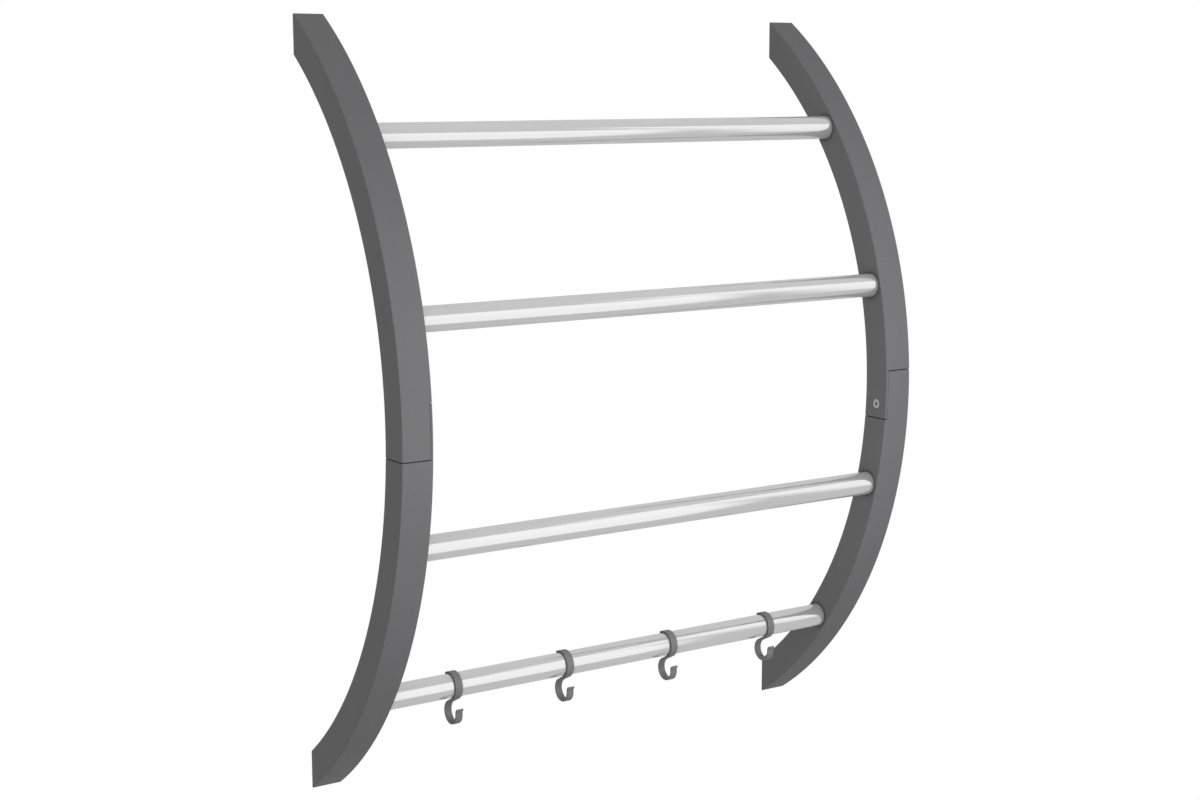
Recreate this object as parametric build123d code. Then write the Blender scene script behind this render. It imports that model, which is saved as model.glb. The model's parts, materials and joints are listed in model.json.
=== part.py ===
from build123d import *
from math import acos, asin, degrees, hypot, sqrt
import os

# Wall-mounted towel rack with four cross rails and four sliding hooks.
# Millimetres. The wall is the plane y = 0 and the front of the rack faces -Y.
# X runs along the rails and Z is up. The origin is the middle of the rack on the wall.

# Overall size
rack_width = 550.0
rack_projection = 185.0
arc_radius = 418.0

# Arch section, a channel open on its hidden concave side
section_width = 29.2
section_depth = 29.0
wall = 2.5
edge_bevel = 0.6
end_bevel = 0.6

# Lap joint between the two halves of an arch
seam_height = 16.0
tongue_reach = 31.0
tongue_thickness = 2.4
seam_gap = 0.3
tongue_end_gap = 0.3
shadow_groove_width = 0.6
shadow_groove_depth = 0.7
lap_clearance = 0.15
lap_screw_height = 17.0
lap_screw_diameter = 5.0
lap_screw_length = 15.0
lap_head_diameter = 9.2
lap_head_height = 1.2
lap_head_sink = 0.4
lap_boss_width = 9.0
drive_slot_width = 1.4
drive_slot_length = 5.2
drive_slot_depth = 0.9
drive_core_diameter = 3.2
drive_core_depth = 2.6

# Rails
rail_diameter = 22.0
rail_wall = 1.0
inner_rail_height = 96.3
outer_rail_height = 244.0
socket_clearance = 0.15
socket_wall = 2.0
rail_end_gap = 0.3

# Set screws that clamp the rails, hidden in the channel behind each socket
set_screw_diameter = 4.0
set_screw_setback = 0.5
set_pad_width = 8.0

# Hidden screw shanks and the holes they are driven into, eight-sided to keep the model light
shank_sides = 8
thread_clearance = 0.03

# Stiffening ribs across the channel
rib_thickness = 1.8
rib_setback = 5.0
ribs_between_rails = 3

# Wall brackets, bent from sheet
bracket_sheet = 3.0
bracket_bend = 1.5
bracket_side_clearance = 0.3
bracket_top_clearance = 1.2
bracket_inset = 3.5
bracket_leg = 22.0
bracket_corner = 3.0
wall_hole_diameter = 5.2
wall_hole_height = 14.0

# Lock screws, driven up into the arch behind its wall end
seat_gap = 0.1
seat_pad_thickness = 2.5
lock_screw_diameter = 4.0
lock_screw_length = 14.0
lock_hole_clearance = 0.2
lock_head_diameter = 8.0
lock_head_sides = 6
lock_head_height = 2.6
lock_boss_wall = 2.0
ledge_clearance = 0.5

# Hooks, moulded strips that snap on the bottom rail
hook_count = 4
hook_spacing = 118.0
hook_clearance = 0.15
hook_thickness = 1.8
hook_width = 7.5
hook_foot_width = 6.9
hook_wrap_behind = 33.0
hook_loop_radius = 9.15
hook_link_length = 10.4
hook_loop_offset = 1.2
tip_rise = 1.4
tip_flare_radius = 4.0
tip_flare_angle = 60.0

# Sizes worked out from the ones above
arc_centre_y = arc_radius - rack_projection
inner_radius = arc_radius - section_depth
mid_radius = arc_radius - section_depth / 2
outer_x = rack_width / 2
inner_x = outer_x - section_width
middle_x = outer_x - section_width / 2
rail_radius = rail_diameter / 2
socket_radius = rail_radius + socket_clearance
rail_half_length = outer_x - wall - rail_end_gap
recess_depth = tongue_thickness + lap_clearance
far = 3 * arc_radius


def arc_y(radius, z):
    """Y of a point at height z on an arc about the arch centre."""
    return arc_centre_y - sqrt(radius**2 - z**2)


def arc_z(radius, y):
    """Height of the point of an arc that lies at this y, on the upper half."""
    return sqrt(radius**2 - (arc_centre_y - y) ** 2)


def height_angle(z):
    """Angle up the arch, in degrees, of the point of the section's middle at height z."""
    return degrees(asin(z / mid_radius))


def on_arch(angle, x=middle_x):
    """Place on the section's middle, with local +Y to the arch centre and local Z along the arc."""
    return Pos(0, arc_centre_y, 0) * Rot(-angle, 0, 0) * Pos(x, -mid_radius, 0)


def slab(x_low, x_high, y_low, y_high, z_low, z_high):
    """Rectangular block between these limits."""
    centre = Pos((x_low + x_high) / 2, (y_low + y_high) / 2, (z_low + z_high) / 2)
    return centre * Box(x_high - x_low, y_high - y_low, z_high - z_low)


def arc_band(outer, inner, x_low, x_high, z_low):
    """Curved bar between two arcs, from height z_low up to the wall."""
    ring = Pos(arc_centre_y, 0) * (Circle(outer) - Circle(inner))
    window = Pos(-far / 2, z_low + far / 2) * Rectangle(far, far)
    return extrude(Plane.YZ.offset(x_low) * (ring & window), x_high - x_low)


def outer_form(z_low):
    """The arch's outside as a solid bar with broken edges."""
    bar = arc_band(arc_radius, inner_radius, inner_x, outer_x, z_low)
    bar = chamfer(bar.edges().filter_by(GeomType.CIRCLE), edge_bevel)
    wall_end = bar.faces().sort_by(Axis.Y)[-1]
    return chamfer(wall_end.edges(), end_bevel)


def channel(x_low, z_low):
    """The space to take out of the bar, open on the concave side and at the wall end."""
    return arc_band(arc_radius - wall, inner_radius - wall, x_low, outer_x - wall, z_low)


def shank(diameter, length, grow=0.0):
    """A screw's shank from the origin up +Z, or the hole it is driven into."""
    return extrude(RegularPolygon(diameter / 2 + grow, shank_sides), length)


# Rail ends in the arch
def socket_places():
    """Places of the upper half's two rail ends on the section's middle."""
    return [on_arch(height_angle(height)) for height in (inner_rail_height, outer_rail_height)]


def socket_bosses():
    """A sleeve for each rail end, with a pad for its set screw on the concave side."""
    sleeve = Rot(0, 90, 0) * Cylinder(socket_radius + socket_wall, section_width)
    pad_length = section_depth / 2 - set_screw_setback
    pad = Pos(0, pad_length / 2, 0) * Box(set_pad_width, pad_length, set_pad_width)
    return Part() + [place * (sleeve + pad) for place in socket_places()]


def socket_holes():
    """The bores for the rail ends, and the holes of their set screws."""
    depth = outer_x - wall - inner_x
    bore = Pos(inner_x - middle_x + depth / 2, 0, 0) * Rot(0, 90, 0) * Cylinder(socket_radius, depth)
    thread = Rot(-90, 0, 0) * shank(set_screw_diameter, section_depth / 2, thread_clearance)
    return Part() + [place * (bore + thread) for place in socket_places()]


def set_screw():
    """Headless screw that presses on the rail, about the rail's centre."""
    point = rail_radius + thread_clearance
    length = section_depth / 2 - set_screw_setback - point
    return Pos(0, point, 0) * Rot(-90, 0, 0) * shank(set_screw_diameter, length)


# Ribs
def ribs():
    """Cross ribs, spaced evenly between the lap joint, the rails and the wall end."""
    first = height_angle(tongue_reach)
    inner = height_angle(inner_rail_height)
    outer = height_angle(outer_rail_height)
    last = height_angle(bracket_base())
    step = (outer - inner) / (ribs_between_rails + 1)
    angles = [(first + inner) / 2, (outer + last) / 2]
    angles += [inner + step * (i + 1) for i in range(ribs_between_rails)]
    depth = section_depth - rib_setback
    plate = Pos(0, -rib_setback / 2, 0) * Box(section_width - wall, depth, rib_thickness)
    return Part() + [on_arch(angle) * plate for angle in angles]


# Wall end
def bracket_base():
    """Height of the underside of the upper wall bracket."""
    return arc_z(inner_radius, 0) + bracket_inset


def seat_height():
    """Height of the face of the arch that rests on the bracket's leg."""
    return bracket_base() + bracket_sheet + seat_gap


def lock_y():
    """Y of the lock screw, in the middle of the bracket's free leg."""
    return -(bracket_leg + bracket_sheet + bracket_bend) / 2


def wall_seat():
    """Ledge that rests on the bracket, and the boss above it for the lock screw."""
    back_y = -(bracket_sheet + bracket_bend + ledge_clearance)
    ledge_top = seat_height() + seat_pad_thickness
    ledge = slab(inner_x, outer_x, -far / 2, back_y, seat_height(), ledge_top)
    boss_width = lock_screw_diameter + 2 * lock_boss_wall
    boss_place = Pos(middle_x, lock_y(), seat_height())
    boss = boss_place * extrude(Rectangle(boss_width, boss_width), section_depth)
    near_end = slab(inner_x, outer_x, -2 * bracket_leg, 0, seat_height(), far)
    return (ledge & near_end) + boss


def lock_screw():
    """Hexagon-head screw from below, through the bracket's leg, into the arch."""
    head = extrude(RegularPolygon(lock_head_diameter / 2, lock_head_sides), -lock_head_height)
    return Pos(middle_x, lock_y(), bracket_base()) * (head + shank(lock_screw_diameter, lock_screw_length))


def drive_cross():
    """Cross recess with a deeper core, cut about a head's outer face, both ways along Z."""
    bar = Box(drive_slot_length, drive_slot_width, 2 * drive_slot_depth)
    return bar + Rot(0, 0, 90) * bar + shank(drive_core_diameter, drive_core_depth)


def wall_bracket():
    """Bent angle that is screwed to the wall, inside the arch's end."""
    base = bracket_base()
    top = arc_z(arc_radius - wall, -bracket_sheet) - bracket_top_clearance
    width = section_width - 2 * (wall + bracket_side_clearance)
    corners = [
        (0, base),
        (-bracket_leg, base),
        (-bracket_leg, base + bracket_sheet),
        (-bracket_sheet, base + bracket_sheet),
        (-bracket_sheet, top),
        (0, top),
    ]
    profile = make_face(Polyline(*corners, close=True))
    heel = profile.vertices().sort_by_distance((0, base, 0))[0]
    profile = fillet(heel, bracket_sheet + bracket_bend)
    crook = profile.vertices().sort_by_distance((-bracket_sheet, base + bracket_sheet, 0))[0]
    profile = fillet(crook, bracket_bend)
    angle = extrude(Plane.YZ.offset(middle_x - width / 2) * profile, width)
    free = angle.edges().filter_by(Axis.Y).group_by(Axis.Z)[-1]
    free += angle.edges().filter_by(Axis.Z).group_by(Axis.Y)[0]
    angle = chamfer(free, bracket_corner)
    wall_hole = Pos(middle_x, 0, base + wall_hole_height) * Rot(90, 0, 0)
    angle -= wall_hole * Cylinder(wall_hole_diameter / 2, 3 * bracket_sheet)
    lock_hole = shank(lock_screw_diameter, bracket_sheet, lock_hole_clearance)
    return angle - Pos(middle_x, lock_y(), base) * lock_hole


# Lap joint
def lap_place(height):
    """Place of a lap screw on the inner side face, with local Z pointing into the arch."""
    return Pos(inner_x, arc_y(mid_radius, height), height) * Rot(0, 90, 0)


def lap_screw():
    """Flat-head screw that clamps the tongue, with its outer face just below the surface."""
    head = extrude(Circle(lap_head_diameter / 2), lap_head_height)
    screw = head + shank(lap_screw_diameter, lap_screw_length) - drive_cross()
    return Pos(0, 0, lap_head_sink) * screw


def lap_screw_hole():
    """The hole for the screw's shank, and the flat well that takes its head."""
    well = Cylinder(lap_head_diameter / 2 + lap_clearance, 2 * (lap_head_sink + lap_head_height))
    depth = lap_head_sink + lap_screw_length + thread_clearance
    return well + shank(lap_screw_diameter, depth, thread_clearance)


def inner_parts():
    return socket_bosses() + ribs() + wall_seat()


def lock_screw_hole():
    depth = lock_screw_length + thread_clearance
    return Pos(middle_x, lock_y(), bracket_base()) * shank(lock_screw_diameter, depth, thread_clearance)


def shadow_groove(end):
    """The ring to take off a half's lower end, so that a fine dark line marks the joint."""
    inset = shadow_groove_depth
    core = arc_band(arc_radius - inset, inner_radius - wall, inner_x + inset, outer_x - inset, end - wall)
    return slab(-far, far, -far, 0, end - wall, end + shadow_groove_width) - core


def tongued_arch():
    """Upper half of the right arch: its inner side runs on as a tongue below the seam."""
    seam = seam_height + seam_gap / 2
    tongue_end = -tongue_reach + tongue_end_gap
    form = outer_form(tongue_end)
    arch = form - slab(inner_x + tongue_thickness, far, -far, far, -far, seam)
    arch -= channel(inner_x + wall, seam + wall)
    arch += inner_parts() & form
    arch -= socket_holes() + lock_screw_hole()
    arch -= shadow_groove(seam) & slab(inner_x + tongue_thickness, far, -far, 0, seam, far)
    arch -= shadow_groove(tongue_end)
    arch -= lap_place(-lap_screw_height) * lap_screw_hole()
    return arch


def plain_arch():
    """The other half, in the same upper right place: its inner side is cut back for a tongue."""
    seam = -seam_height + seam_gap / 2
    shoulder = tongue_reach
    lap_x = inner_x + recess_depth
    form = outer_form(seam)
    arch = form - channel(inner_x + wall, shoulder + wall)
    lap_space = channel(lap_x + wall, seam + wall) & slab(-far, far, -far, far, -far, shoulder + 2 * wall)
    arch -= lap_space
    boss = extrude(Rectangle(lap_boss_width, lap_boss_width), lap_screw_length + wall)
    arch += lap_place(lap_screw_height) * boss
    arch += inner_parts() & form
    arch -= socket_holes() + lock_screw_hole()
    arch -= slab(-far, lap_x, -far, far, -far, shoulder)
    arch -= lap_place(lap_screw_height) * lap_screw_hole()
    return arch


# Rails
def rail(angle):
    """Tube across the rack, between the outer walls of the two arches."""
    length = 2 * rail_half_length
    tube = Cylinder(rail_radius, length) - Cylinder(rail_radius - rail_wall, length)
    return on_arch(angle, 0) * Rot(0, 90, 0) * tube


# Hooks
def hook_line():
    """Middle line of the strip, about the rail's centre: over the rail, then round the loop."""
    wrap_radius = rail_radius + hook_clearance + hook_thickness / 2
    loop_radius = hook_loop_radius + hook_thickness / 2
    spread = hypot(wrap_radius + loop_radius, hook_link_length)
    loop_centre = (-hook_loop_offset, -sqrt(spread**2 - hook_loop_offset**2))
    down = 270 - degrees(asin(hook_loop_offset / spread))
    leave = down - degrees(acos((wrap_radius + loop_radius) / spread))
    start = 90 - hook_wrap_behind
    wrap = CenterArc((0, 0), wrap_radius, start, leave - start)
    loop = CenterArc(loop_centre, loop_radius, leave - 180, -leave)
    link = Line(wrap @ 1, loop @ 0)
    rise = Line(loop @ 1, loop @ 1 + Vector(0, tip_rise))
    flare = CenterArc(rise @ 1 - Vector(tip_flare_radius, 0), tip_flare_radius, 0, tip_flare_angle)
    return [wrap, link, loop, rise, flare]


def hook():
    """Strip hook about the rail's centre, which narrows along its straight link."""
    line = hook_line()
    strip = extrude(Plane.YZ * trace(Wire(line), hook_thickness), hook_width, both=True)
    link = line[1]
    lean = abs((link % 0).X) * hook_thickness / 2
    reach = 2 * (rail_diameter + hook_link_length + hook_loop_radius)
    right_edge = [
        (hook_width / 2, reach),
        (hook_width / 2, (link @ 0).Y - lean),
        (hook_foot_width / 2, (link @ 1).Y + lean),
        (hook_foot_width / 2, -reach),
    ]
    left_edge = [(-x, z) for x, z in reversed(right_edge)]
    front_view = Plane.XZ * make_face(Polyline(*right_edge, *left_edge, close=True))
    return strip & extrude(front_view, reach, both=True)


def hook_positions():
    first = -hook_spacing * (hook_count - 1) / 2
    return [first + hook_spacing * i for i in range(hook_count)]


# Assembly
def at_four_ends(node, shape):
    """A piece of the upper right end, and its three mirrored copies."""
    return {
        f"right_upper_{node}": shape,
        f"left_upper_{node}": mirror(shape, Plane.YZ),
        f"right_lower_{node}": mirror(shape, Plane.XY),
        f"left_lower_{node}": Rot(0, 180, 0) * shape,
    }


def parts():
    tongued = tongued_arch()
    plain = plain_arch()
    nodes = {
        "right_upper_arch": tongued,
        "left_lower_arch": Rot(0, 180, 0) * tongued,
        "left_upper_arch": mirror(plain, Plane.YZ),
        "right_lower_arch": mirror(plain, Plane.XY),
    }
    inner = height_angle(inner_rail_height)
    outer = height_angle(outer_rail_height)
    rail_angles = {"top": outer, "upper": inner, "lower": -inner, "bottom": -outer}
    for name, angle in rail_angles.items():
        nodes[f"{name}_rail"] = rail(angle)
    screws = [place * set_screw() for place in socket_places()]
    nodes |= at_four_ends("rail_screws", Compound(screws))
    nodes |= at_four_ends("wall_bracket", wall_bracket())
    nodes |= at_four_ends("lock_screw", lock_screw())
    joint_screw = lap_place(-lap_screw_height) * lap_screw()
    nodes["right_joint_screw"] = joint_screw
    nodes["left_joint_screw"] = Rot(0, 180, 0) * joint_screw
    rail_centre = on_arch(-outer, 0).position
    for i, x in enumerate(hook_positions()):
        nodes[f"hook_{i + 1}"] = Pos(x, rail_centre.Y, rail_centre.Z) * hook()
    return nodes


os.makedirs("parts", exist_ok=True)
for node, shape in parts().items():
    export_step(shape, f"parts/{node}.step")
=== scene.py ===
"""Looks of a wall-mounted towel rack: dark moulded arches, polished rails, sliding hooks.

Everything is in metres in the rack's own frame: x along the rails, y into the wall, z up.
"""
import json
import math

import bpy
from mathutils import Matrix, Vector


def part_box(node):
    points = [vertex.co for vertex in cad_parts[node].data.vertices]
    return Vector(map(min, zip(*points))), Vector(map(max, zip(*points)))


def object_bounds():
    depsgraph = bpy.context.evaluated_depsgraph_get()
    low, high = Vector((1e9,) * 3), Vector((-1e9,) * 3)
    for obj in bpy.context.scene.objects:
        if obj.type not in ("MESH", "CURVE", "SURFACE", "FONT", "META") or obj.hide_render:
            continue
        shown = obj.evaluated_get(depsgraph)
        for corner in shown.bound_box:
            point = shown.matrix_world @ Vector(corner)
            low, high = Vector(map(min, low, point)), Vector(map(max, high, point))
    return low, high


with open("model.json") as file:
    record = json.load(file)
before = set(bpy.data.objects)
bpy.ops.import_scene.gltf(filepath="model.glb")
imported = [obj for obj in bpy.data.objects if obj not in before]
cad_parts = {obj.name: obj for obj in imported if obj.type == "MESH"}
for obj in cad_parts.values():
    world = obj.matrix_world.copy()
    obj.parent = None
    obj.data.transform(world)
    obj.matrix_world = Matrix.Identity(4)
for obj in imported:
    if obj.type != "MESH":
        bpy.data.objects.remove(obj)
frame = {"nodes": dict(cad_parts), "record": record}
cad_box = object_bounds()
nodes = frame["nodes"]

# Camera, found by fitting the rack's edges in a 1200 by 800 picture
camera_place = Vector((-1.0173, -1.5804, 0.2893))
camera_azimuth = -33.82
camera_elevation = -9.16
camera_roll = -0.087
camera_lens = 59.41
camera_sensor = 36.0

# Studio
floor_drop = 0.30
floor_size = 60.0
floor_colour = 0.882
ambient_level = 0.615
backdrop_level = 1.0

# The front gloss panel is near and as wide as the rack; the rails mirror it as a bright streak.
front_gloss = {"depth": -0.70, "span_x": (-0.47, 0.535), "span_z": (-0.55, 0.41), "radiance": 0.755}
# Its right end fades out over the last twelfth of its width.
front_gloss_fade = {"across": -11.8, "upwards": 0.0, "start": 11.8}
# The right gloss panel is mirrored only by the right ends of the rails.
right_gloss = {"depth": -0.93, "span_x": (0.64, 1.70), "span_z": (-0.25, 0.95), "radiance": 0.68}
# It is dark in its lower left corner: its brightness rises with the shares across and upwards.
right_gloss_fade = {"across": 6.5, "upwards": 1.7, "start": -0.87}
# Two fills light the plastic alone, strongest half-way up the arches.
middle_fill = {"depth": -0.66, "span_x": (-0.27, 0.35), "span_z": (-0.30, 0.13), "radiance": 2.35}
high_fill = {"depth": -0.80, "span_x": (-0.38, 0.42), "span_z": (0.30, 0.70), "radiance": 2.6}

# Softening of the moulded and cut edges, in metres
weld_distance = 2e-6
soft_angle = 32.0
soft_segments = 2
face_weight = 100
edge_softness = {
    "arch_plastic": 0.00026,
    "hook_plastic": 0.0004,
    "polished_rail": 0.00015,
    "zinc_screw": 0.00015,
    "joint_screw": 0.00012,
    "zinc_bracket": 0.0002,
}
# Tiny hidden steps in these pieces would hold every other edge back, so nothing holds them back.
freely_softened = {"arch_plastic"}

# Patterns: where most of a noise's values lie, wider for fine grain and narrower for worn patches
noise_middle = (0.3, 0.7)
noise_wide = (0.25, 0.75)

# Moulded plastic: sizes of its patterns in metres, then the shades and roughness they give
mottle_size = 0.07
mottle_shade = (0.965, 1.035)
speck_size = 0.0012
speck_shade = (0.95, 1.05)
rub_size = 0.006
rub_values = (0.4, 0.65)
rub_strength = (0.3, 1.0)
rub_radius = 0.0008
rub_polish = -0.1
smear_size = 0.035
plastic_roughness = (0.50, 0.58)
grain_roughness = 0.65
grain_height = 0.00003
grain_bump = 0.55
flow_size = 0.03
flow_height = 0.0002
flow_bump = 0.25
plastic_specular = 0.5

# Painted crevice shade: the base colour is darkened where surfaces stand within reach round a point,
# down to darkest in a groove
painted_shade_reach = 0.007
painted_shade_darkest = 0.25
painted_shade_values = (0.5, 0.92)
painted_shade_samples = 8

# Worn edges: the turn of the rounded normal that counts as a full edge
edge_turn = 0.35
edge_samples = 6

# Polished tube
tube_metallic = 0.45
tube_colour = (0.92, 0.92, 0.92)
line_size = 0.0005
line_stretch = (0.01, 1, 1)
line_shade = (0.985, 1.015)
line_roughness = (-0.015, 0.015)
line_height = 0.000004
line_bump = 0.4
smudge_size = 0.03
smudge_stretch = (0.4, 1, 1)
smudge_shade = (0.985, 1.01)
tube_roughness = (0.07, 0.10)

# Plated steel
facet_shade = (0.92, 1.06)
bloom_size = 0.008
bloom_shade = (0.93, 1.05)
bright_size = 0.003
bright_values = (0.35, 0.65)
bright_strength = (0.4, 1.0)
bright_radius = 0.0004
bright_wear = 0.25
scratch_size = 0.0009
scratch_stretch = (1, 0.08, 0.6)
scratch_roughness = (-0.06, 0.08)
scratch_height = 0.00001
scratch_bump = 0.5

# Painted shade: the joint screws' cross recess is darkened in colour from just below the head's face
# to its full depth.
screw_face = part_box("right_joint_screw")[0].x
recess_mouth = 0.0001
recess_floor = 0.0010
painted_recess_darkest = 0.75


# Node helpers
def new_material(name):
    """An empty node material with its output and principled shader."""
    material = bpy.data.materials.new(name)
    material.use_nodes = True
    tree = material.node_tree
    tree.nodes.clear()
    output = tree.nodes.new("ShaderNodeOutputMaterial")
    shader = tree.nodes.new("ShaderNodeBsdfPrincipled")
    tree.links.new(shader.outputs["BSDF"], output.inputs["Surface"])
    return material, tree, shader


def place(tree, scale):
    """The rack's own coordinates in metres, stretched by scale along each axis."""
    coordinates = tree.nodes.new("ShaderNodeTexCoord")
    mapping = tree.nodes.new("ShaderNodeMapping")
    mapping.inputs["Scale"].default_value = scale
    tree.links.new(coordinates.outputs["Object"], mapping.inputs["Vector"])
    return mapping.outputs["Vector"]


def noise(tree, size, detail=3.0, stretch=(1, 1, 1), roughness=0.5):
    """Noise between 0 and 1 whose patches are about size metres across."""
    texture = tree.nodes.new("ShaderNodeTexNoise")
    texture.inputs["Scale"].default_value = 1.0
    texture.inputs["Detail"].default_value = detail
    texture.inputs["Roughness"].default_value = roughness
    vector = place(tree, tuple(share / size for share in stretch))
    tree.links.new(vector, texture.inputs["Vector"])
    return texture.outputs["Fac"]


def remap(tree, value, source, target):
    """The value moved from the source range to the target range and held inside it."""
    ramp = tree.nodes.new("ShaderNodeMapRange")
    ramp.inputs["From Min"].default_value = source[0]
    ramp.inputs["From Max"].default_value = source[1]
    ramp.inputs["To Min"].default_value = target[0]
    ramp.inputs["To Max"].default_value = target[1]
    tree.links.new(value, ramp.inputs["Value"])
    return ramp.outputs["Result"]


def maths(tree, operation, *values):
    """One arithmetic step on sockets or numbers."""
    step = tree.nodes.new("ShaderNodeMath")
    step.operation = operation
    for socket, value in zip(step.inputs, values):
        if isinstance(value, (int, float)):
            socket.default_value = value
        else:
            tree.links.new(value, socket)
    return step.outputs["Value"]


def product(tree, first, *others):
    """Several sockets or numbers multiplied in turn."""
    for other in others:
        first = maths(tree, "MULTIPLY", first, other)
    return first


def tint(tree, colour, value):
    """A colour made lighter or darker by a factor that varies over the surface."""
    scale = tree.nodes.new("ShaderNodeVectorMath")
    scale.operation = "SCALE"
    scale.inputs[0].default_value = colour
    tree.links.new(value, scale.inputs["Scale"])
    return scale.outputs["Vector"]


def edge_mask(tree, radius):
    """Near 1 on corners and edges and 0 on flat faces, from rounded normals."""
    rounded = tree.nodes.new("ShaderNodeBevel")
    rounded.samples = edge_samples
    rounded.inputs["Radius"].default_value = radius
    surface = tree.nodes.new("ShaderNodeNewGeometry")
    compare = tree.nodes.new("ShaderNodeVectorMath")
    compare.operation = "DOT_PRODUCT"
    tree.links.new(rounded.outputs["Normal"], compare.inputs[0])
    tree.links.new(surface.outputs["Normal"], compare.inputs[1])
    return remap(tree, compare.outputs["Value"], (1.0, 1.0 - edge_turn), (0.0, 1.0))


def painted_crevice_shade(tree):
    """Painted shade: 1 on open faces, and the colour darker where other surfaces stand close round
    the point.
    """
    shelter = tree.nodes.new("ShaderNodeAmbientOcclusion")
    shelter.samples = painted_shade_samples
    shelter.inputs["Distance"].default_value = painted_shade_reach
    return remap(tree, shelter.outputs["AO"], painted_shade_values, (painted_shade_darkest, 1.0))


def painted_recess_shade(tree):
    """Painted shade: 1 on a joint screw's head, and the colour darker inside its recess, further
    from the middle plane.
    """
    coordinates = tree.nodes.new("ShaderNodeTexCoord")
    split = tree.nodes.new("ShaderNodeSeparateXYZ")
    tree.links.new(coordinates.outputs["Object"], split.inputs["Vector"])
    outwards = maths(tree, "ABSOLUTE", split.outputs["X"])
    depths = (screw_face + recess_mouth, screw_face + recess_floor)
    return remap(tree, outwards, depths, (1.0, painted_recess_darkest))


def bump(tree, height, distance, strength, under=None):
    """A bump of the height socket, on top of another bump if there is one."""
    step = tree.nodes.new("ShaderNodeBump")
    step.inputs["Distance"].default_value = distance
    step.inputs["Strength"].default_value = strength
    tree.links.new(height, step.inputs["Height"])
    if under:
        tree.links.new(under, step.inputs["Normal"])
    return step.outputs["Normal"]


# Materials
def moulded_plastic(name, colour, grain, wear):
    """Matte moulded plastic: fine eroded grain, faint mottling, rubbed edges and painted shade in
    crevices and between parts.
    """
    material, tree, shader = new_material(name)
    mottle = remap(tree, noise(tree, mottle_size, detail=4.0), noise_middle, mottle_shade)
    speck = remap(tree, noise(tree, speck_size, detail=2.0), noise_wide, speck_shade)
    patches = remap(tree, noise(tree, rub_size), rub_values, rub_strength)
    rubbed = product(tree, edge_mask(tree, rub_radius), patches)
    lighter = maths(tree, "MULTIPLY_ADD", rubbed, wear, 1.0)
    # The colour's factor holds painted crevice shade, along with the real mottle, specks and rubbed
    # wear.
    shade = product(tree, mottle, speck, lighter, painted_crevice_shade(tree))
    tree.links.new(tint(tree, colour, shade), shader.inputs["Base Color"])
    smear = remap(tree, noise(tree, smear_size, detail=5.0), noise_middle, plastic_roughness)
    polish = maths(tree, "MULTIPLY_ADD", rubbed, rub_polish, smear)
    tree.links.new(polish, shader.inputs["Roughness"])
    fine = bump(tree, noise(tree, grain, roughness=grain_roughness), grain_height, grain_bump)
    flow = bump(tree, noise(tree, flow_size, detail=2.0), flow_height, flow_bump, under=fine)
    tree.links.new(flow, shader.inputs["Normal"])
    shader.inputs["Specular IOR Level"].default_value = plastic_specular
    return material


def polished_tube():
    """Bright polished tube: fine lines along its length and soft smudges."""
    material, tree, shader = new_material("polished_tube")
    shader.inputs["Metallic"].default_value = tube_metallic
    lines = noise(tree, line_size, detail=2.0, stretch=line_stretch)
    smudges = noise(tree, smudge_size, detail=4.0, stretch=smudge_stretch)
    shade = product(tree, remap(tree, lines, noise_middle, line_shade),
                    remap(tree, smudges, noise_middle, smudge_shade))
    tree.links.new(tint(tree, tube_colour, shade), shader.inputs["Base Color"])
    haze = maths(tree, "ADD", remap(tree, lines, noise_wide, line_roughness),
                 remap(tree, smudges, noise_middle, tube_roughness))
    tree.links.new(haze, shader.inputs["Roughness"])
    tree.links.new(bump(tree, lines, line_height, line_bump), shader.inputs["Normal"])
    return material


def plated_steel(name, colour, roughness, spangle, paint_recess_shade=False):
    """Zinc plated steel: cloudy crystals, fine scratches, brighter edges and, when asked, painted
    shade in a cross recess.
    """
    material, tree, shader = new_material(name)
    shader.inputs["Metallic"].default_value = 1.0
    crystals = tree.nodes.new("ShaderNodeTexVoronoi")
    crystals.inputs["Scale"].default_value = 1.0
    tree.links.new(place(tree, (1 / spangle,) * 3), crystals.inputs["Vector"])
    facets = remap(tree, crystals.outputs["Distance"], (0.0, 1.0), facet_shade)
    bloom = remap(tree, noise(tree, bloom_size, detail=4.0), noise_middle, bloom_shade)
    patches = remap(tree, noise(tree, bright_size), bright_values, bright_strength)
    bright = product(tree, edge_mask(tree, bright_radius), patches)
    lighter = maths(tree, "MULTIPLY_ADD", bright, bright_wear, 1.0)
    shade = product(tree, facets, bloom, lighter)
    # Painted shade: the colour darkens inside the joint screw's cross recess.
    if paint_recess_shade:
        shade = product(tree, shade, painted_recess_shade(tree))
    tree.links.new(tint(tree, colour, shade), shader.inputs["Base Color"])
    scratches = noise(tree, scratch_size, detail=2.0, stretch=scratch_stretch)
    rough = tuple(roughness + change for change in scratch_roughness)
    tree.links.new(remap(tree, scratches, noise_middle, rough), shader.inputs["Roughness"])
    tree.links.new(bump(tree, scratches, scratch_height, scratch_bump), shader.inputs["Normal"])
    return material


def floor_material():
    """Plain pale floor; to the eye it is as white as the backdrop behind it."""
    material = bpy.data.materials.new("pale_floor")
    material.use_nodes = True
    tree = material.node_tree
    tree.nodes.clear()
    output = tree.nodes.new("ShaderNodeOutputMaterial")
    seen = tree.nodes.new("ShaderNodeEmission")
    seen.inputs["Strength"].default_value = backdrop_level
    matte = tree.nodes.new("ShaderNodeBsdfDiffuse")
    matte.inputs["Color"].default_value = (floor_colour, floor_colour, floor_colour, 1)
    ray = tree.nodes.new("ShaderNodeLightPath")
    mix = tree.nodes.new("ShaderNodeMixShader")
    tree.links.new(ray.outputs["Is Camera Ray"], mix.inputs["Fac"])
    tree.links.new(matte.outputs["BSDF"], mix.inputs[1])
    tree.links.new(seen.outputs["Emission"], mix.inputs[2])
    tree.links.new(mix.outputs["Shader"], output.inputs["Surface"])
    return material


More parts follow.
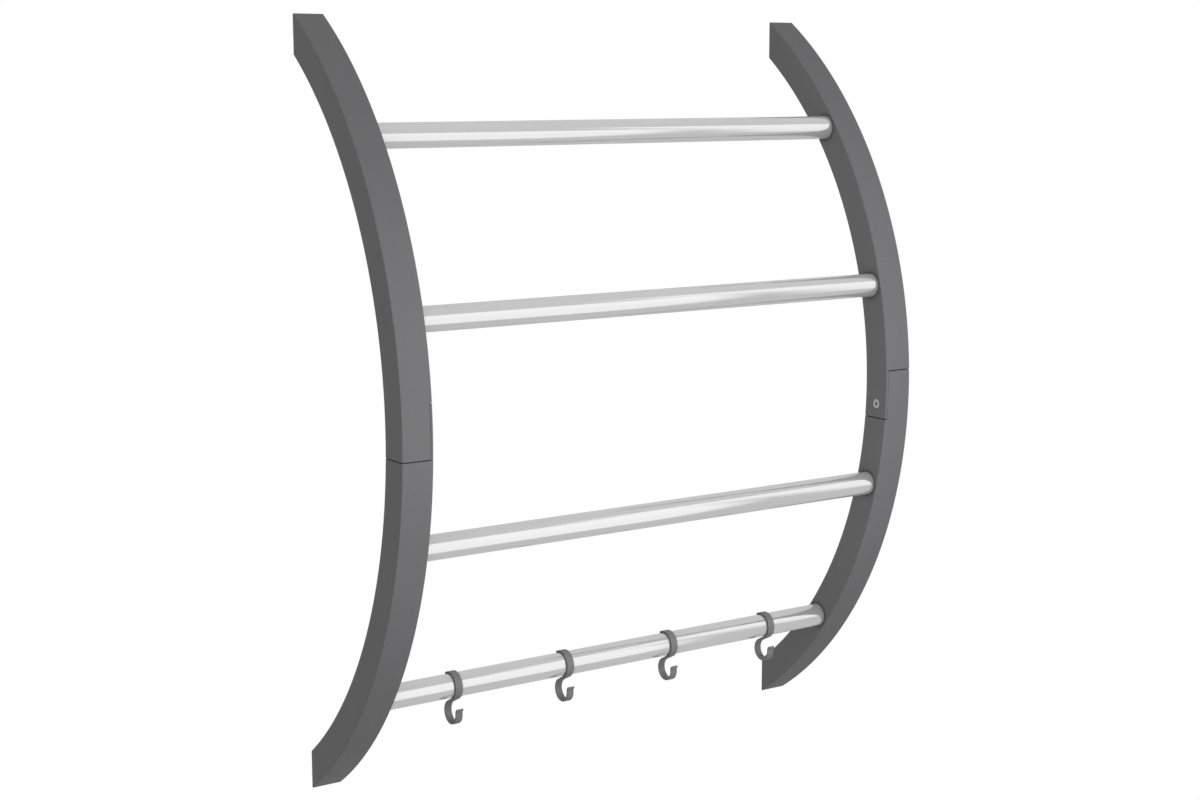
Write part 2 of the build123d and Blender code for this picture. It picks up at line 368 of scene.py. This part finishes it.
# The rack's pieces
def soften(piece, width, held_back):
    """Rounds a piece's hard edges a little and shades its curved faces smoothly."""
    piece.data.shade_smooth()
    weld = piece.modifiers.new("weld", "WELD")
    weld.merge_threshold = weld_distance
    bevel = piece.modifiers.new("soft_edges", "BEVEL")
    bevel.width = width
    bevel.segments = soft_segments
    bevel.limit_method = "ANGLE"
    bevel.angle_limit = math.radians(soft_angle)
    bevel.use_clamp_overlap = held_back
    bevel.harden_normals = True
    shading = piece.modifiers.new("shading", "WEIGHTED_NORMAL")
    shading.keep_sharp = True
    shading.weight = face_weight


def make_finishes():
    """One material for each of the record's material slots."""
    return {
        "arch_plastic": moulded_plastic(
            "dark_moulded_plastic", colour=(0.118, 0.118, 0.122), grain=0.0006, wear=0.22),
        "hook_plastic": moulded_plastic(
            "hook_moulded_plastic", colour=(0.16, 0.16, 0.163), grain=0.0005, wear=0.25),
        "polished_rail": polished_tube(),
        "zinc_screw": plated_steel(
            "zinc_screw", colour=(0.56, 0.57, 0.58), roughness=0.34, spangle=0.0015),
        "joint_screw": plated_steel(
            "satin_screw", colour=(0.62, 0.62, 0.63), roughness=0.40, spangle=0.0012, paint_recess_shade=True),
        "zinc_bracket": plated_steel(
            "zinc_sheet", colour=(0.52, 0.53, 0.55), roughness=0.38, spangle=0.004),
    }


def dress_pieces():
    """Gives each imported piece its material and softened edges, by its slot."""
    finishes = make_finishes()
    for part in frame["record"]["subparts"]:
        piece = nodes[part["node"]]
        slot = part["material_slot"]
        piece.data.materials.clear()
        piece.data.materials.append(finishes[slot])
        soften(piece, edge_softness[slot], held_back=slot not in freely_softened)


# Floor, walls, lights and camera
def make_floor():
    """A plain pale floor under the rack, seen as part of the white backdrop."""
    low, high = cad_box
    middle = (low + high) / 2
    half = floor_size / 2
    level = low.z - floor_drop
    corners = [(middle.x + x * half, middle.y + y * half, level)
               for x, y in ((-1, -1), (1, -1), (1, 1), (-1, 1))]
    mesh = bpy.data.meshes.new("floor")
    mesh.from_pydata(corners, [], [(0, 1, 2, 3)])
    floor = bpy.data.objects.new("floor", mesh)
    bpy.context.scene.collection.objects.link(floor)
    floor.data.materials.append(floor_material())


def make_world():
    """White to the eye, and soft grey studio walls to the surfaces."""
    world = bpy.data.worlds.new("studio")
    bpy.context.scene.world = world
    world.use_nodes = True
    tree = world.node_tree
    tree.nodes.clear()
    output = tree.nodes.new("ShaderNodeOutputWorld")
    walls = tree.nodes.new("ShaderNodeBackground")
    walls.inputs["Strength"].default_value = ambient_level
    backdrop = tree.nodes.new("ShaderNodeBackground")
    backdrop.inputs["Strength"].default_value = backdrop_level
    ray = tree.nodes.new("ShaderNodeLightPath")
    mix = tree.nodes.new("ShaderNodeMixShader")
    for background in (walls, backdrop):
        background.inputs["Color"].default_value = (1, 1, 1, 1)
    tree.links.new(ray.outputs["Is Camera Ray"], mix.inputs["Fac"])
    tree.links.new(walls.outputs["Background"], mix.inputs[1])
    tree.links.new(backdrop.outputs["Background"], mix.inputs[2])
    tree.links.new(mix.outputs["Shader"], output.inputs["Surface"])


def panel(name, depth, span_x, span_z, radiance, lit=None):
    """A soft upright panel that faces the rack: gloss for all, or fill for the lit pieces only."""
    width = span_x[1] - span_x[0]
    height = span_z[1] - span_z[0]
    data = bpy.data.lights.new(name, "AREA")
    data.shape = "RECTANGLE"
    data.size = width
    data.size_y = height
    data.energy = radiance * width * height * math.pi
    lamp = bpy.data.objects.new(name, data)
    bpy.context.scene.collection.objects.link(lamp)
    lamp.location = (sum(span_x) / 2, depth, sum(span_z) / 2)
    lamp.rotation_euler = (math.radians(90), 0, 0)
    lamp.visible_camera = False
    lamp.visible_glossy = lit is None
    lamp.visible_diffuse = lit is not None
    lamp.light_linking.receiver_collection = lit
    return data


def fade_panel(data, across, upwards, start):
    """Scales a panel's brightness by a sum of its shares across and upwards, held from 0 to 1."""
    data.use_nodes = True
    tree = data.node_tree
    shares = tree.nodes.new("ShaderNodeSeparateXYZ")
    surface = tree.nodes.new("ShaderNodeNewGeometry")
    tree.links.new(surface.outputs["Parametric"], shares.inputs["Vector"])
    rise = maths(tree, "MULTIPLY_ADD", shares.outputs["X"], across, start)
    total = maths(tree, "MULTIPLY_ADD", shares.outputs["Y"], upwards, rise)
    total.node.use_clamp = True
    glow = next(node for node in tree.nodes if node.type == "EMISSION")
    tree.links.new(total, glow.inputs["Strength"])


def make_lights():
    """Two panels that the polished rails mirror, and two fills for the matte plastic."""
    plastic = bpy.data.collections.new("plastic_pieces")
    for part in frame["record"]["subparts"]:
        if part["material_slot"].endswith("plastic"):
            plastic.objects.link(nodes[part["node"]])
    fade_panel(panel("front_gloss", **front_gloss), **front_gloss_fade)
    fade_panel(panel("right_gloss", **right_gloss), **right_gloss_fade)
    panel("middle_fill", **middle_fill, lit=plastic)
    panel("high_fill", **high_fill, lit=plastic)


def make_camera():
    """The picture's own view."""
    data = bpy.data.cameras.new("camera")
    data.sensor_width = camera_sensor
    data.lens = camera_lens
    camera = bpy.data.objects.new("camera", data)
    bpy.context.scene.collection.objects.link(camera)
    turn = Matrix.Rotation(math.radians(camera_azimuth), 4, "Z")
    tilt = Matrix.Rotation(math.radians(90 + camera_elevation), 4, "X")
    roll = Matrix.Rotation(math.radians(camera_roll), 4, "Z")
    camera.matrix_world = Matrix.Translation(camera_place) @ turn @ tilt @ roll
    bpy.context.scene.camera = camera


def set_view_transform():
    """Plain picture values, with no film curve."""
    view = bpy.context.scene.view_settings
    view.view_transform = "Standard"
    view.look = "None"


dress_pieces()
make_floor()
make_world()
make_lights()
make_camera()
set_view_transform()
